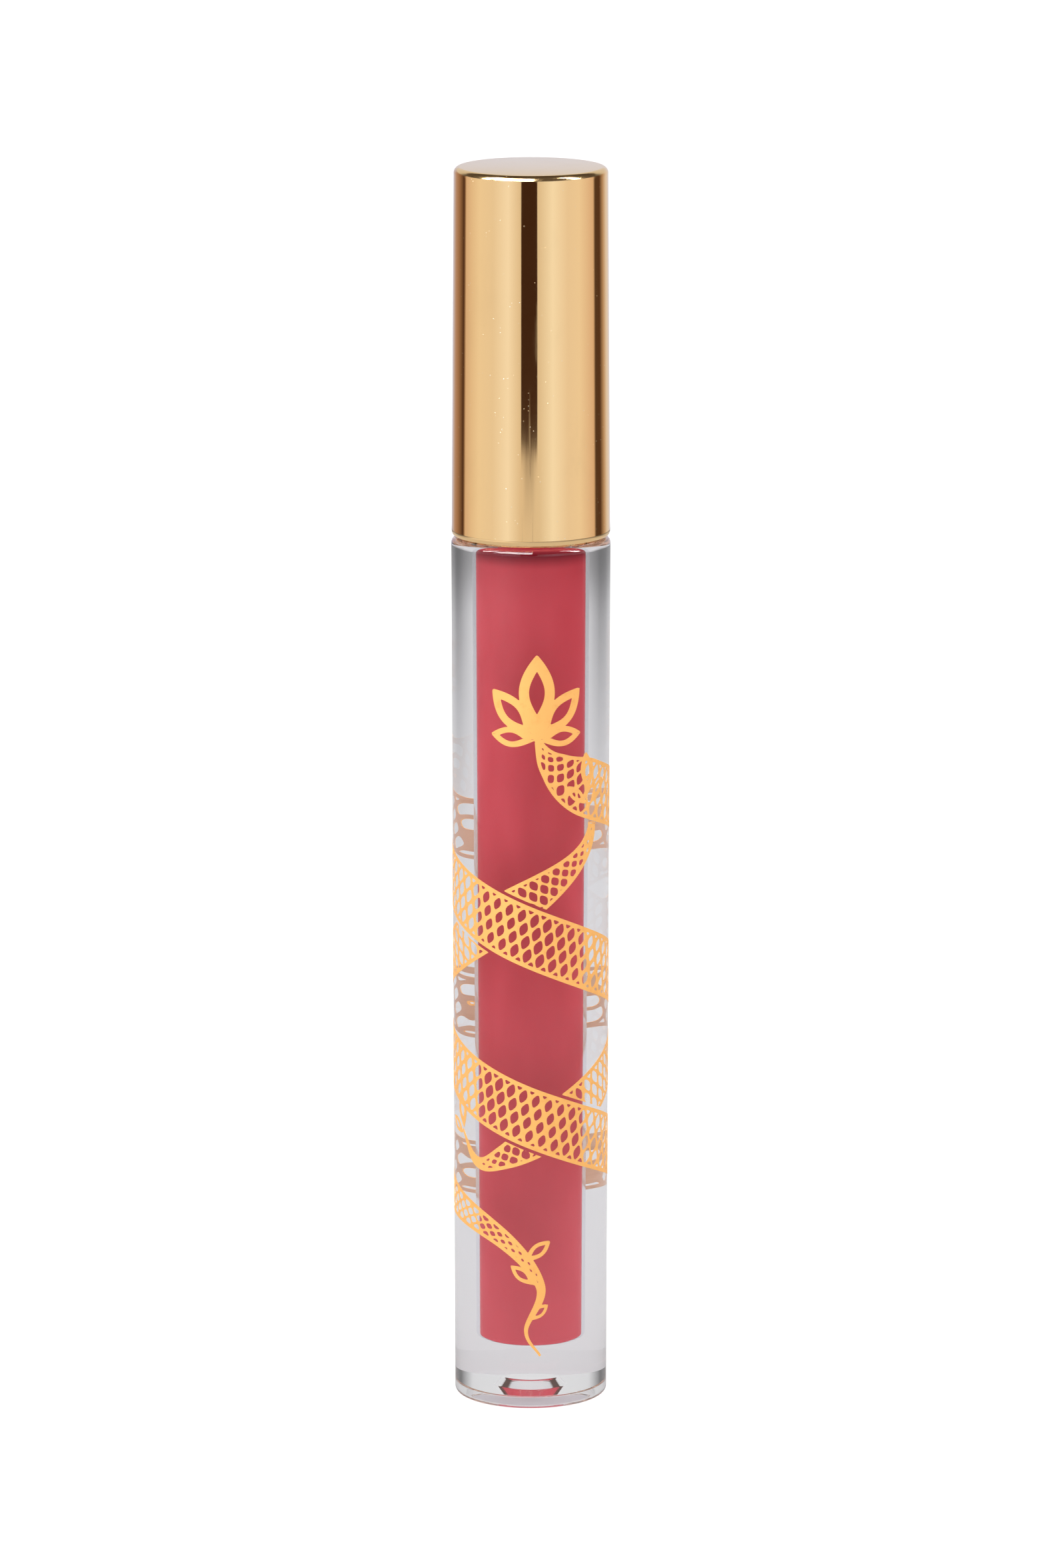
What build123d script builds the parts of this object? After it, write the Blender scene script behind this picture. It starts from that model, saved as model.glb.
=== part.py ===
"""A slim lip gloss tube: thick clear bottle, tapered metallised cap, and the wand that the cap carries.

Millimetres. The origin is the middle of the bottle's underside and +Z points up along the tube.
Every piece is turned about Z, apart from the two threads, the ribs of the inner cap and the slanted applicator.
The printed panel is turned through part of a circle.
"""

import os

from build123d import *

# Driving dimensions
TUBE_HEIGHT = 122.0
SHOULDER_Z = 85.8
SHOULDER_R = 7.75
BASE_R = 7.48
CAP_RIM_R = 7.71
CAP_TOP_R = 7.46
CHAMBER_FLOOR_Z = 5.7
CHAMBER_FLOOR_R = 3.5
NECK_BORE_R = 3.78
NECK_R = 4.7
NECK_LENGTH = 9.5
STEM_R = 1.6
THREAD_PITCH = 2.0
THREAD_TURNS = 1.5

# Bottle
NECK_TOP_Z = SHOULDER_Z + NECK_LENGTH
SHOULDER_ROUND = 0.5
BASE_ROUND = 0.5
CHAMBER_ROUND = 0.5
FOOT_R = 5.9
FOOT_SLOPE = 0.3
FOOT_DEPTH = 1.0
GATE_R = 2.35
GATE_TOP_R = 1.85
GATE_TOP_Z = 1.95
THREAD_RISE = 0.55
NECK_THREAD_Z = 89.6

# Cap shell and inner cap
RIM_GAP = 0.1
CAP_RIM_Z = SHOULDER_Z + RIM_GAP
SHELL_BORE_R = 6.55
SHELL_TOP_WALL = 1.2
CAP_TOP_ROUND = 0.45
RIM_ROUND = 0.2
SKIRT_BORE_R = 5.45
SKIRT_R = 6.2
SKIRT_LOW_Z = CAP_RIM_Z + 0.6
WEB_Z = NECK_TOP_Z + 1.5
WEB_WALL = 1.2
SOCKET_R = 3.1
SOCKET_TOP_Z = 112.0
SOCKET_LID = 1.0
CAP_THREAD_REACH = 0.6
GRIP_RIBS = 12
GRIP_RIB_WIDTH = 0.8
FINS = 4
FIN_WIDTH = 0.8

# Wiper
WIPER_FLANGE_R = 4.4
WIPER_FLANGE = 0.7
WIPER_R = 3.76
WIPER_MOUTH_R = 2.65
WIPER_LIP_R = 1.8
WIPER_LIP_Z = 87.4

# Gasket
GASKET_GAP = 0.05
GASKET_BORE_R = 2.75
GASKET_R = 5.2

# Wand
SHANK_R = 1.65
SHANK_TOP_Z = 110.5
COLLAR_R = 2.45
COLLAR_Z = 95.4
STEM_END_Z = 17.5
TIP_Z = 6.6
TIP_R = 1.72
TIP_SLANT = 72.0
TIP_SLANT_TOP_Z = 12.6
TIP_ROUND = 0.45
FLOCK = 0.42
PLUG_R = 0.9
PLUG_LENGTH = 5.5

# Gloss
GLOSS_TOP_Z = 87.1
GLOSS_WALL_GAP = 0.02
WAND_HOLLOW_R = 1.82
WAND_HOLLOW_Z = 6.2
COAT_R = 1.75
COAT_STEM_GAP = 0.03
COAT_LOW_Z = 21.5
COAT_TOP_Z = 80.0

# Printed panel
FOIL = 0.03
FOIL_GAP = 0.01
FOIL_LOW_Z = 4.0
FOIL_TOP_Z = 79.0
FOIL_ARC = 220.0


def outline(points, rounds=None):
    """The flat face through (radius, height) points, with the corners in rounds, by index, rounded."""
    face = make_face(Polyline(*[(r, 0, z) for r, z in points], close=True))
    for index, radius in (rounds or {}).items():
        r, z = points[index]
        corner = face.vertices().sort_by_distance((r, 0, z))[0]
        face = fillet(corner, radius)
    return face


def turned(points, rounds=None):
    """The solid of revolution about Z of an outline."""
    return revolve(outline(points, rounds), Axis.Z)


def body_r(z):
    """The bottle's outer radius at a height below the shoulder."""
    return BASE_R + (SHOULDER_R - BASE_R) * z / SHOULDER_Z


def ridge(root_r, crest_r, low_z, turns):
    """One thread ridge: a trapezium, wide at root_r and narrow at crest_r, swept up a right-hand helix."""
    wide, narrow = 0.5 * THREAD_PITCH, 0.25 * THREAD_PITCH
    path = Helix(pitch=THREAD_PITCH, height=turns * THREAD_PITCH, radius=root_r, center=(0, 0, low_z))
    section = make_face(
        Polyline(
            (root_r, 0, low_z - wide / 2),
            (crest_r, 0, low_z - narrow / 2),
            (crest_r, 0, low_z + narrow / 2),
            (root_r, 0, low_z + wide / 2),
            close=True,
        )
    )
    return sweep(section, path=path, is_frenet=True)


def bottle():
    """The clear moulding: solid base with a gate dimple, deep narrow chamber, threaded neck."""
    outside = [
        (0, GATE_TOP_Z),
        (GATE_TOP_R, GATE_TOP_Z),
        (GATE_R, FOOT_DEPTH),
        (FOOT_R, FOOT_DEPTH),
        (FOOT_R + FOOT_SLOPE, 0),
        (BASE_R, 0),
        (SHOULDER_R, SHOULDER_Z),
        (NECK_R, SHOULDER_Z),
        (NECK_R, NECK_TOP_Z),
        (NECK_BORE_R, NECK_TOP_Z),
        (NECK_BORE_R, SHOULDER_Z),
        (CHAMBER_FLOOR_R, CHAMBER_FLOOR_Z),
        (0, CHAMBER_FLOOR_Z),
    ]
    rounds = {
        1: 0.3,
        2: 0.2,
        5: BASE_ROUND,
        6: SHOULDER_ROUND,
        7: 0.3,
        8: 0.2,
        11: CHAMBER_ROUND,
    }
    blank = turned(outside, rounds)
    return blank + ridge(NECK_R - 0.1, NECK_R + THREAD_RISE, NECK_THREAD_Z, THREAD_TURNS)


def wiper():
    """The soft plug in the neck: a flange on the rim, a sleeve down the bore and a funnel that ends in a thin lip."""
    top = NECK_TOP_Z + WIPER_FLANGE
    return turned(
        [
            (WIPER_MOUTH_R, top),
            (WIPER_FLANGE_R, top),
            (WIPER_FLANGE_R, NECK_TOP_Z),
            (WIPER_R, NECK_TOP_Z),
            (WIPER_R, WIPER_LIP_Z + 2.2),
            (WIPER_R - 0.5, WIPER_LIP_Z + 0.8),
            (WIPER_LIP_R, WIPER_LIP_Z),
            (WIPER_LIP_R, WIPER_LIP_Z + 0.4),
            (WIPER_MOUTH_R, WIPER_LIP_Z + 1.9),
        ],
        {0: 0.3, 1: 0.15},
    )


def gloss_fill():
    """The gloss in the chamber, with the hollow that the wand leaves in it."""
    top_r = NECK_BORE_R - GLOSS_WALL_GAP
    body = turned(
        [
            (0, CHAMBER_FLOOR_Z + GLOSS_WALL_GAP),
            (CHAMBER_FLOOR_R - GLOSS_WALL_GAP, CHAMBER_FLOOR_Z + GLOSS_WALL_GAP),
            (top_r, SHOULDER_Z),
            (top_r, GLOSS_TOP_Z),
            (0, GLOSS_TOP_Z),
        ],
        {1: CHAMBER_ROUND},
    )
    hollow = turned(
        [
            (0, WAND_HOLLOW_Z),
            (WAND_HOLLOW_R, WAND_HOLLOW_Z),
            (WAND_HOLLOW_R, GLOSS_TOP_Z + 1),
            (0, GLOSS_TOP_Z + 1),
        ]
    )
    return body - hollow


def cap_shell():
    """The metallised outer cap: a tapered cup, open below."""
    return turned(
        [
            (SHELL_BORE_R, CAP_RIM_Z),
            (CAP_RIM_R, CAP_RIM_Z),
            (CAP_TOP_R, TUBE_HEIGHT),
            (0, TUBE_HEIGHT),
            (0, TUBE_HEIGHT - SHELL_TOP_WALL),
            (SHELL_BORE_R, TUBE_HEIGHT - SHELL_TOP_WALL),
        ],
        {0: RIM_ROUND, 1: RIM_ROUND, 2: CAP_TOP_ROUND, 5: 0.5},
    )


def spokes(count, inner_r, outer_r, width, low_z, high_z):
    """Upright plates set evenly round Z, from inner_r to outer_r, their outer faces turned to outer_r."""
    middle, length, height = (inner_r + outer_r) / 2, outer_r - inner_r + 1, high_z - low_z
    plates = [
        Rot(0, 0, 360 * k / count) * Pos(middle, 0, (low_z + high_z) / 2) * Box(length, width, height)
        for k in range(count)
    ]
    ring = turned([(inner_r, low_z), (outer_r, low_z), (outer_r, high_z), (inner_r, high_z)])
    return Part() + plates & ring


def inner_cap():
    """The threaded liner of the cap: a skirt over the neck, a web, and a socket that grips the wand's shank."""
    lid_z = SOCKET_TOP_Z + SOCKET_LID
    web_top = WEB_Z + WEB_WALL
    body = turned(
        [
            (SKIRT_BORE_R, SKIRT_LOW_Z),
            (SKIRT_R, SKIRT_LOW_Z),
            (SKIRT_R, web_top),
            (SOCKET_R, web_top),
            (SOCKET_R, SOCKET_TOP_Z),
            (SHELL_BORE_R, SOCKET_TOP_Z),
            (SHELL_BORE_R, lid_z),
            (0, lid_z),
            (0, SHANK_TOP_Z),
            (SHANK_R, SHANK_TOP_Z),
            (SHANK_R, WEB_Z),
            (SKIRT_BORE_R, WEB_Z),
        ],
        {2: 0.3},
    )
    ribs = spokes(GRIP_RIBS, SKIRT_R - 0.3, SHELL_BORE_R, GRIP_RIB_WIDTH, SKIRT_LOW_Z + 1, web_top)
    fins = spokes(FINS, SOCKET_R - 0.3, SKIRT_R - 0.3, FIN_WIDTH, web_top - 0.5, SOCKET_TOP_Z + 0.5)
    thread = ridge(
        SKIRT_BORE_R + 0.1,
        SKIRT_BORE_R - CAP_THREAD_REACH,
        NECK_THREAD_Z - THREAD_PITCH / 2,
        THREAD_TURNS,
    )
    return body + ribs + fins + thread


def cap_gasket():
    """The flat washer between the inner cap's web and the wiper's flange."""
    low, high = NECK_TOP_Z + WIPER_FLANGE + GASKET_GAP, WEB_Z - GASKET_GAP
    return turned([(GASKET_BORE_R, low), (GASKET_R, low), (GASKET_R, high), (GASKET_BORE_R, high)])


def wand_stem():
    """The rod: a shank for the inner cap's socket, a collar that plugs the wiper's mouth, and a blind tip socket."""
    return turned(
        [
            (0, SHANK_TOP_Z),
            (SHANK_R, SHANK_TOP_Z),
            (SHANK_R, WEB_Z),
            (COLLAR_R, WEB_Z),
            (COLLAR_R, COLLAR_Z),
            (STEM_R, COLLAR_Z),
            (STEM_R, STEM_END_Z),
            (PLUG_R, STEM_END_Z),
            (PLUG_R, STEM_END_Z + PLUG_LENGTH),
            (0, STEM_END_Z + PLUG_LENGTH),
        ],
        {1: 0.4, 4: 0.4, 5: 0.3, 6: 0.25},
    )


def doe_foot(radius, low_z, slant_z, rounding):
    """A rod from low_z to the stem's end with one side of its foot cut away at the slant, all edges rounded."""
    rod = turned([(0, low_z), (radius, low_z), (radius, STEM_END_Z), (0, STEM_END_Z)])
    cutter = Pos(radius, 0, slant_z) * Rot(0, 90 - TIP_SLANT, 0) * Pos(20, 0, -20) * Box(40, 40, 60)
    foot = rod - cutter
    edges = [e for e in foot.edges() if e.center().Z < slant_z + 0.5 and e.length > 0.5]
    return fillet(edges, rounding)


def applicator_core():
    """The soft moulded tip under the flock, with the plug that holds it in the stem."""
    core = doe_foot(TIP_R - FLOCK, TIP_Z + FLOCK, TIP_SLANT_TOP_Z, TIP_ROUND - 0.15)
    plug_top = STEM_END_Z + PLUG_LENGTH
    plug = turned([(0, STEM_END_Z - 1), (PLUG_R, STEM_END_Z - 1), (PLUG_R, plug_top), (0, plug_top)])
    return core + plug


def applicator_flock():
    """The coat of short fibres on the tip."""
    return doe_foot(TIP_R, TIP_Z, TIP_SLANT_TOP_Z + FLOCK, TIP_ROUND) - applicator_core()


def gloss_coat():
    """The film of gloss on the stem, which comes out with the wand."""
    inner = STEM_R + COAT_STEM_GAP
    return turned([(inner, COAT_LOW_Z), (COAT_R, COAT_LOW_Z), (COAT_R, COAT_TOP_Z), (inner, COAT_TOP_Z)])


def foil_print():
    """The printed panel: a thin sheet on the front of the bottle's tapered side, centred on -Y."""
    low_r, top_r = body_r(FOIL_LOW_Z) + FOIL_GAP, body_r(FOIL_TOP_Z) + FOIL_GAP
    section = outline(
        [
            (low_r, FOIL_LOW_Z),
            (low_r + FOIL, FOIL_LOW_Z),
            (top_r + FOIL, FOIL_TOP_Z),
            (top_r, FOIL_TOP_Z),
        ]
    )
    return Rot(0, 0, -90 - FOIL_ARC / 2) * revolve(section, Axis.Z, revolution_arc=FOIL_ARC)


NODES = {
    "bottle": bottle,
    "wiper": wiper,
    "gloss_fill": gloss_fill,
    "cap_shell": cap_shell,
    "inner_cap": inner_cap,
    "cap_gasket": cap_gasket,
    "wand_stem": wand_stem,
    "applicator_core": applicator_core,
    "applicator_flock": applicator_flock,
    "gloss_coat": gloss_coat,
    "foil_print": foil_print,
}

os.makedirs("parts", exist_ok=True)
for node, make in NODES.items():
    export_step(make(), f"parts/{node}.step")
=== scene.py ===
"""A slim lip gloss tube: clear thick-walled bottle, mirror-gold cap, gilded print, wand and gloss, in a small studio.

The frame gives the bodies that move and the plain pieces. This script dresses them, and builds anew the pieces whose
surface matters most. Shapes are worked out in millimetres and stored in metres.
"""

import logging
import math
from collections.abc import Callable, Iterable, Sequence
from dataclasses import dataclass
from enum import Enum

import bpy
import numpy as np
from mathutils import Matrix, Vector


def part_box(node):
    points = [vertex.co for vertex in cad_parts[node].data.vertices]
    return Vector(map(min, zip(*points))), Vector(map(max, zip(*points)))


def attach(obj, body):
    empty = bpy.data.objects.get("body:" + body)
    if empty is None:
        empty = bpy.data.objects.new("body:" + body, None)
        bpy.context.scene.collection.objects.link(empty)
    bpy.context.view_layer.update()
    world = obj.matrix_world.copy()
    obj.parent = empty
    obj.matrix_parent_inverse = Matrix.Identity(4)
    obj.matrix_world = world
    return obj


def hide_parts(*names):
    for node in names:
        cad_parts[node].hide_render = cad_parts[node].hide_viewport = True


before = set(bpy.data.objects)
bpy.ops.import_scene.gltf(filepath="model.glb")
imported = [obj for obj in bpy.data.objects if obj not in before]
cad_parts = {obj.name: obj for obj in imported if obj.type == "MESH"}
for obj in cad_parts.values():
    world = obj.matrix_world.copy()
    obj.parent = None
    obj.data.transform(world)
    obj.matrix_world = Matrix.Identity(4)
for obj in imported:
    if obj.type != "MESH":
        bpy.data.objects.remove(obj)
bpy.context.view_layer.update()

logging.basicConfig(level=logging.INFO, format="%(name)s: %(message)s")
log = logging.getLogger("lip_gloss_tube")

MM = 0.001
CORNERS = ((-1, -1), (1, -1), (1, 1), (-1, 1))
WHITE = (1.0, 1.0, 1.0, 1.0)
BLACK = (0.0, 0.0, 0.0, 1.0)
Point = tuple[float, float]
Corner = tuple[float, float, float]
Place = tuple[float, float, float]
Colour = tuple[float, float, float]


class Body(Enum):
    """The bodies of the frame that new pieces ride on."""

    TUBE = "tube"
    FILM = "film"
    CAP = "cap"


# ---------------------------------------------------------------------------------------------------------------------
# Shader graph
# ---------------------------------------------------------------------------------------------------------------------


class Signal:
    """A socket that carries a number, a colour or a vector through a material's nodes."""

    def __init__(self, graph: "Graph", socket: bpy.types.NodeSocket) -> None:
        self.graph = graph
        self.socket = socket

    def math(self, operation: str, *values: "Signal | float", swapped: bool = False) -> "Signal":
        """Puts this number through a Math node.

        Args:
            operation: the Math node's operation.
            values: the node's other inputs.
            swapped: whether this number is the second input instead of the first.

        Returns:
            The node's value.
        """
        inputs = [*values, self] if swapped else [self, *values]
        node = self.graph.node("ShaderNodeMath", {"operation": operation}, dict(enumerate(inputs)))
        return Signal(self.graph, node.outputs[0])

    def __add__(self, other: "Signal | float") -> "Signal":
        """This plus other."""
        return self.math("ADD", other)

    def __radd__(self, other: float) -> "Signal":
        """A number plus this."""
        return self.math("ADD", other, swapped=True)

    def __sub__(self, other: "Signal | float") -> "Signal":
        """This minus other."""
        return self.math("SUBTRACT", other)

    def __rsub__(self, other: float) -> "Signal":
        """A number minus this."""
        return self.math("SUBTRACT", other, swapped=True)

    def __mul__(self, other: "Signal | float") -> "Signal":
        """This times other."""
        return self.math("MULTIPLY", other)

    def __rmul__(self, other: float) -> "Signal":
        """A number times this."""
        return self.math("MULTIPLY", other, swapped=True)

    def __pow__(self, other: float) -> "Signal":
        """This to a power."""
        return self.math("POWER", other)

    def above(self, edge: float, softness: float) -> "Signal":
        """A mask that runs from 0 at edge to 1 at edge plus softness.

        Args:
            edge: the value at which the mask starts.
            softness: how far above the edge the mask is full.

        Returns:
            The mask, between 0 and 1.
        """
        node = self.graph.node(
            "ShaderNodeMapRange",
            {"interpolation_type": "SMOOTHSTEP"},
            {"Value": self, "From Min": edge, "From Max": edge + softness, "To Min": 0.0, "To Max": 1.0},
        )
        return Signal(self.graph, node.outputs[0])


class Graph:
    """The nodes of one material."""

    def __init__(self, name: str) -> None:
        self.material = bpy.data.materials.new(name)
        self.material.use_nodes = True
        self.tree = self.material.node_tree
        self.tree.nodes.clear()

    def node(self, kind: str, settings: dict[str, object] | None = None, inputs: dict | None = None) -> bpy.types.Node:
        """Adds one node.

        Args:
            kind: the node's type.
            settings: its properties, set before its sockets. "stops" is a list of ramp positions and colours.
            inputs: values, or signals to link, by socket name or number.

        Returns:
            The new node.
        """
        node = self.tree.nodes.new(kind)
        for key, value in (settings or {}).items():
            if key == "stops":
                self.set_stops(node.color_ramp, value)
            else:
                setattr(node, key, value)
        for key, value in (inputs or {}).items():
            if isinstance(value, Signal):
                self.tree.links.new(value.socket, node.inputs[key])
            elif isinstance(value, bpy.types.NodeSocket):
                self.tree.links.new(value, node.inputs[key])
            else:
                node.inputs[key].default_value = value
        return node

    @staticmethod
    def set_stops(ramp: bpy.types.ColorRamp, stops: Sequence[tuple[float, Colour]]) -> None:
        """Gives a colour ramp its stops.

        Args:
            ramp: the ramp, as new.
            stops: pairs of a position and a colour, in order.
        """
        while len(ramp.elements) < len(stops):
            ramp.elements.new(0.5)
        for element, (position, colour) in zip(ramp.elements, stops):
            element.position = position
            element.color = (*colour, 1.0)

    def place(self, tall: float = 1.0) -> Signal:
        """Where a point is on the object, in metres, with its height multiplied by tall."""
        source = self.node("ShaderNodeTexCoord").outputs["Object"]
        scaled = self.node("ShaderNodeVectorMath", {"operation": "MULTIPLY"}, {0: source, 1: (1.0, 1.0, tall)})
        return Signal(self, scaled.outputs[0])

    def noise(self, grain: float, tall: float = 1.0, detail: float = 3.0, rough: float = 0.5) -> Signal:
        """Smooth noise over the surface.

        Args:
            grain: the size of the noise's features, in millimetres.
            tall: the factor on heights, where a small one draws the features out upwards.
            detail: how many finer layers are added.
            rough: how strong the finer layers are.

        Returns:
            A value between 0 and 1.
        """
        inputs = {"Vector": self.place(tall), "Scale": 1.0 / (grain * MM), "Detail": detail, "Roughness": rough}
        return Signal(self, self.node("ShaderNodeTexNoise", {}, inputs).outputs[0])

    def ramp(self, value: Signal, stops: Sequence[tuple[float, Colour]]) -> Signal:
        """The colour that a value picks from a ramp."""
        return Signal(self, self.node("ShaderNodeValToRGB", {"stops": stops}, {0: value}).outputs[0])

    def polar(self) -> tuple[Signal, Signal, Signal]:
        """Where a point is round the Z axis.

        Returns:
            The turn from the front, counted from -0.5 to 0.5 and growing towards +X, then the distance from the axis
            and the height, in metres.
        """
        parts = self.node("ShaderNodeSeparateXYZ", {}, {0: self.place()}).outputs
        x, y, z = [Signal(self, part) for part in parts]
        turn = x.math("ARCTAN2", y * -1.0) * (0.5 / math.pi)
        return turn, (x * x + y * y) ** 0.5, z

    def shades(self, turn: Signal, tones: Sequence[tuple[float, Colour]]) -> Signal:
        """The colour round a ring, from pairs of an angle in degrees and a colour."""
        return self.ramp(turn + 0.5, [(angle / 360 + 0.5, tone) for angle, tone in tones])

    def blend(self, share: Signal, first: Colour | Signal, second: Colour | Signal) -> Signal:
        """Mixes two colours.

        Args:
            share: how much of the second colour there is, from 0 to 1.
            first: the colour where share is 0.
            second: the colour where share is 1.

        Returns:
            The mixed colour.
        """
        a, b = [c if isinstance(c, Signal) else (*c, 1.0) for c in (first, second)]
        node = self.node("ShaderNodeMix", {"data_type": "RGBA"}, {0: share, 6: a, 7: b})
        return Signal(self, node.outputs[2])

    def bump(self, height: Signal, depth: float) -> Signal:
        """The normal that stands for relief, from its height between 0 and 1 and its depth in millimetres."""
        inputs = {"Height": height, "Distance": depth * MM, "Strength": 1.0}
        return Signal(self, self.node("ShaderNodeBump", {}, inputs).outputs[0])

    def shader(self, **inputs: object) -> Signal:
        """A Principled shader, with its sockets given by name, with underscores for spaces."""
        named = {key.replace("_", " "): value for key, value in inputs.items()}
        return Signal(self, self.node("ShaderNodeBsdfPrincipled", {}, named).outputs[0])

    def glow(self, tone: Signal) -> Signal:
        """A shader that shines in a colour and mirrors nothing."""
        return self.shader(Base_Color=BLACK, Specular_IOR_Level=0.0, Emission_Color=tone, Emission_Strength=1.0)

    def layer(self, share: Signal | bpy.types.NodeSocket, first: Signal, second: bpy.types.NodeSocket) -> Signal:
        """The shader that is first where share is 0, and second where it is 1."""
        return Signal(self, self.node("ShaderNodeMixShader", {}, {0: share, 1: first, 2: second}).outputs[0])

    def finish(self, surface: Signal) -> bpy.types.Material:
        """Ends the graph in a surface and returns the material."""
        self.node("ShaderNodeOutputMaterial", {}, {"Surface": surface})
        return self.material


# ---------------------------------------------------------------------------------------------------------------------
# Finishes
# ---------------------------------------------------------------------------------------------------------------------


@dataclass(frozen=True)
class ClearPlastic:
    """Polished clear plastic, with the faint waviness and scuffs of a moulding.

    Attributes:
        tint: the colour of the light that passes.
        index: the refractive index.
        waviness: the depth of the slow surface waves, in millimetres.
    """

    tint: Colour = (0.985, 0.982, 0.995)
    index: float = 1.49
    waviness: float = 0.004

    def material(self) -> bpy.types.Material:
        """Builds the material, which lets lamps and soft light straight through."""
        g = Graph("clear_plastic")
        waves = g.noise(3.5, 0.25, detail=1.0)
        scuffs = g.noise(0.9, detail=6.0, rough=0.7).above(0.62, 0.2)
        clear = g.shader(
            Base_Color=(*self.tint, 1.0),
            Roughness=0.004 + 0.05 * scuffs,
            IOR=self.index,
            Transmission_Weight=1.0,
            Normal=g.bump(waves, self.waviness),
        )
        path = g.node("ShaderNodeLightPath")
        soft = Signal(g, path.outputs["Is Shadow Ray"]).math("MAXIMUM", Signal(g, path.outputs["Is Diffuse Ray"]))
        through = g.node("ShaderNodeBsdfTransparent", {}, {"Color": (*self.tint, 1.0)}).outputs[0]
        return g.finish(g.layer(soft, clear, through))


@dataclass(frozen=True)
class GlossCream:
    """Opaque, creamy lip gloss.

    Attributes:
        name: the material's name.
        deep: its colour where it lies thick.
        light: its colour in the pale drifts.
        roughness: how soft its own shine is.
        wetting: the refractive index against the plastic that it wets, or None where it lies in the open.
        settled: its colour low in the chamber.
        settled_share: how much of that colour there is at the foot.
        settled_rise: the height in metres at which it starts to fade, and over how much it does.
        shaded: its colour where the cap shades it, a painted shade of the cap's shadow.
        painted_shade_rise: the height in metres at which the painted shade starts, and over how much it deepens.
    """

    name: str
    deep: Colour = (0.48, 0.040, 0.057)
    light: Colour = (0.56, 0.056, 0.077)
    roughness: float = 0.5
    wetting: float | None = None
    settled: Colour = (0.57, 0.13, 0.155)
    settled_share: float = 0.42
    settled_rise: Point = (0.004, 0.05)
    # Painted shade: the dark colour painted on the gloss under the cap, where the cap's shadow falls.
    shaded: Colour = (0.20, 0.010, 0.020)
    painted_shade_rise: Point = (0.0833, 0.0016)

    def material(self) -> bpy.types.Material:
        """Builds the material, with slow drifts in the cream, paler where it settles, and a painted shade of the cap's
        shadow near its top.
        """
        g = Graph(self.name)
        drifts = g.noise(6.0, 0.35, detail=2.0).above(0.35, 0.35)
        grain = g.noise(0.15, detail=2.0)
        colour = g.blend(drifts, self.deep, self.light)
        if self.wetting:
            _, _, height = g.polar()
            colour = g.blend((1.0 - height.above(*self.settled_rise)) * self.settled_share, colour, self.settled)
            # Painted shade: the colour darkens above the shoulder, standing for the cap's shadow.
            colour = g.blend(height.above(*self.painted_shade_rise), colour, self.shaded)
        cream = g.shader(
            Base_Color=colour,
            Roughness=self.roughness + 0.08 * grain,
            IOR=1.03 if self.wetting else 1.46,
            Subsurface_Weight=0.15,
            Subsurface_Radius=(1.0, 0.3, 0.25),
            Subsurface_Scale=0.6 * MM,
            Normal=g.bump(g.noise(1.2, detail=2.0), 0.01),
        )
        if not self.wetting:
            return g.finish(cream)
        graze = g.node("ShaderNodeFresnel", {}, {"IOR": self.wetting}).outputs[0]
        sheen = g.node("ShaderNodeBsdfGlossy", {}, {"Color": (0.9, 0.9, 0.93, 1.0), "Roughness": 0.25}).outputs[0]
        return g.finish(g.layer(graze, cream, sheen))


@dataclass(frozen=True)
class MirrorGold:
    """Vacuum metallised plastic under a gold lacquer.

    Attributes:
        colour: what it reflects face on.
        edge: the tint of what it reflects at a graze.
        waviness: the depth of the slow waves in the moulding, in millimetres.
        top: the height in metres of the cap's top, whose round is a little softer.
    """

    colour: Colour = (0.90, 0.62, 0.305)
    edge: Colour = (1.0, 0.98, 0.95)
    waviness: float = 0.010
    top: float = 0.122

    def material(self) -> bpy.types.Material:
        """Builds the material, with slow waves, hazy wipe marks, hairline scratches and dust specks."""
        g = Graph("mirror_gold")
        waves = g.noise(5.0, 0.16, detail=2.0)
        ripple = g.noise(1.6, 0.4, detail=2.0)
        haze = g.noise(4.0, 0.5, detail=5.0, rough=0.6).above(0.5, 0.3)
        hairs = g.noise(0.25, 0.02, detail=2.0).above(0.66, 0.04)
        specks = g.noise(0.16, detail=0.0).above(0.86, 0.01)
        _, _, height = g.polar()
        edge = height.above(self.top - 0.0007, 0.0003)
        tone = g.blend(haze, self.colour, tuple(c * 0.97 for c in self.colour))
        relief = waves + 0.07 * ripple + 0.02 * hairs + 0.3 * specks
        return g.finish(
            g.shader(
                Base_Color=g.blend(specks, tone, (0.95, 0.86, 0.66)),
                Metallic=1.0,
                Roughness=0.045 + 0.03 * haze + 0.05 * hairs + 0.2 * specks + 0.1 * edge,
                Specular_Tint=(*self.edge, 1.0),
                Normal=g.bump(relief, self.waviness),
            )
        )


@dataclass(frozen=True)
class StampedFoil:
    """Hot-stamped gold foil: satin, with the faint grain of the stamp.

    Attributes:
        name: the material's name.
        colour: what the foil reflects.
        worn: its colour where it is thin.
        metal: how much of its shine is metallic.
    """

    name: str = "stamped_foil"
    colour: Colour = (0.92, 0.47, 0.125)
    worn: Colour = (0.86, 0.40, 0.10)
    metal: float = 0.3

    def material(self) -> bpy.types.Material:
        """Builds the material."""
        g = Graph(self.name)
        thin = g.noise(1.1, detail=5.0, rough=0.65).above(0.5, 0.25)
        grain = g.noise(0.08, detail=2.0)
        return g.finish(
            g.shader(
                Base_Color=g.blend(thin, self.colour, self.worn),
                Metallic=self.metal,
                Roughness=0.42 + 0.12 * grain,
                Normal=g.bump(grain, 0.004),
            )
        )


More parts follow.
